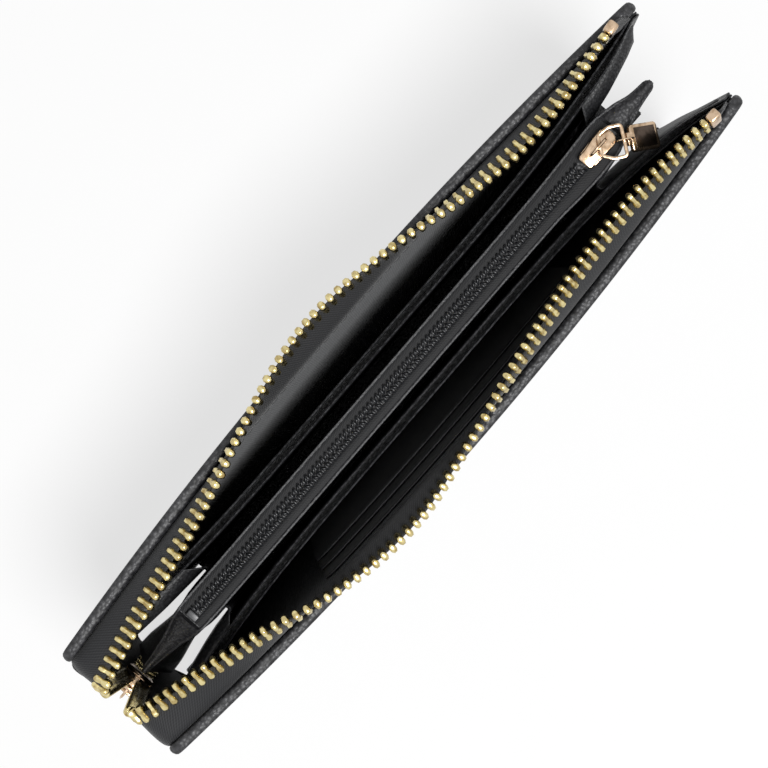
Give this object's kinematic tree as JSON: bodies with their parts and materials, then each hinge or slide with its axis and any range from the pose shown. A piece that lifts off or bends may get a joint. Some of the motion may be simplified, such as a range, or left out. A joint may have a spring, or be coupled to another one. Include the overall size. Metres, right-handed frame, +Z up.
{
  "type": "zip wallet",
  "caption": "Long black leather zip wallet standing open on its spine, with a gold-toothed zip, a zipped coin pocket between two leaves, gussets and card panels.",
  "frame": {"origin": "middle of the spine's flat underside, halfway along the covers", "axes": "+X along the wallet towards the end where the zip opens, +Y towards the back half, +Z up out of the open mouth"},
  "size_m": [0.2064, 0.0512, 0.1074],
  "materials": {
    "leather": "pebbled, semi-matt",
    "lining": "fine ribbed cloth",
    "board": "matt",
    "zip_tape": "knitted tape",
    "zip_coil": "nylon monofilament",
    "zip_teeth": "pale gold plate",
    "metal": "polished gold plate"
  },
  "bodies": {
    "core": {"spine_strip": "leather", "spine_board": "board", "coin_wall_front": "leather", "coin_wall_back": "leather", "coin_pocket_floor": "lining", "coin_end_left": "leather", "coin_end_right": "leather", "coin_tape_front": "zip_tape", "coin_tape_back": "zip_tape", "coin_coil_front": "zip_coil", "coin_coil_back": "zip_coil", "coin_zip_stops": "zip_coil", "zip_tail": "zip_tape", "closed_teeth": "zip_teeth", "main_bottom_stop": "metal"},
    "coin_slide": {"coin_slider": "metal", "coin_bail": "metal"},
    "coin_ring": {"coin_pull_ring": "metal"},
    "coin_tab": {"coin_pull_tab": "metal"},
    "main_slide": {"main_slider": "metal", "main_bail": "metal"},
    "main_ring": {"main_pull_ring": "metal"},
    "main_tab": {"main_pull_tab": "metal"},
    "back_half": {"back_cover": "leather", "back_board": "board", "back_lining": "lining", "back_leaf": "leather", "back_tape": "zip_tape", "back_teeth": "zip_teeth", "back_top_stop": "metal", "back_end_tape": "zip_tape", "back_end_teeth": "zip_teeth", "back_gusset_left": "leather", "back_gusset_right": "leather"},
    "front_half": {"front_cover": "leather", "front_board": "board", "front_lining": "lining", "front_leaf": "leather", "front_tape": "zip_tape", "front_teeth": "zip_teeth", "front_top_stop": "metal", "front_end_tape": "zip_tape", "front_end_teeth": "zip_teeth", "front_gusset_left": "leather", "front_gusset_right": "leather", "card_panel_1": "lining", "card_panel_2": "lining", "card_panel_3": "lining"}
  },
  "joints": [
    {"name": "back_half_hinge", "type": "hinge", "parent": "core", "child": "back_half", "pos_m": [0, 0.01165, 0.0018], "axis": [-1, 0, 0], "range_deg": [-1.2, 20], "deforming": ["back_end_tape", "back_end_teeth", "back_gusset_left", "back_gusset_right"]},
    {"name": "front_half_hinge", "type": "hinge", "parent": "core", "child": "front_half", "pos_m": [0, -0.01165, 0.0018], "axis": [1, 0, 0], "range_deg": [-1.2, 20], "deforming": ["front_end_tape", "front_end_teeth", "front_gusset_left", "front_gusset_right"]},
    {"name": "coin_zip_slide", "type": "slide", "parent": "core", "child": "coin_slide", "axis": [-1, 0, 0], "range_m": [0, 0.129], "deforming": ["coin_coil_front", "coin_coil_back"]},
    {"name": "coin_ring_hinge", "type": "hinge", "parent": "coin_slide", "child": "coin_ring", "pos_m": [0.0684, 0, 0.09555], "axis": [-0.5878, -0.809, 0], "range_deg": [0, 100]},
    {"name": "coin_tab_hinge", "type": "hinge", "parent": "coin_ring", "child": "coin_tab", "pos_m": [0.07292, -0.00329, 0.09584], "axis": [-0.5878, -0.809, 0], "range_deg": [0, 60]},
    {"name": "main_zip_slide", "type": "slide", "parent": "core", "child": "main_slide", "axis": [0.0919, 0, 0.9958], "range_m": [0, 0.048]},
    {"name": "main_ring_hinge", "type": "hinge", "parent": "main_slide", "child": "main_ring", "pos_m": [-0.10683, 0, 0.03035], "axis": [0, 1, 0], "range_deg": [0, 110]},
    {"name": "main_tab_hinge", "type": "hinge", "parent": "main_ring", "child": "main_tab", "pos_m": [-0.10781, 0, 0.02484], "axis": [0, 1, 0], "range_deg": [0, 60]}
  ]
}
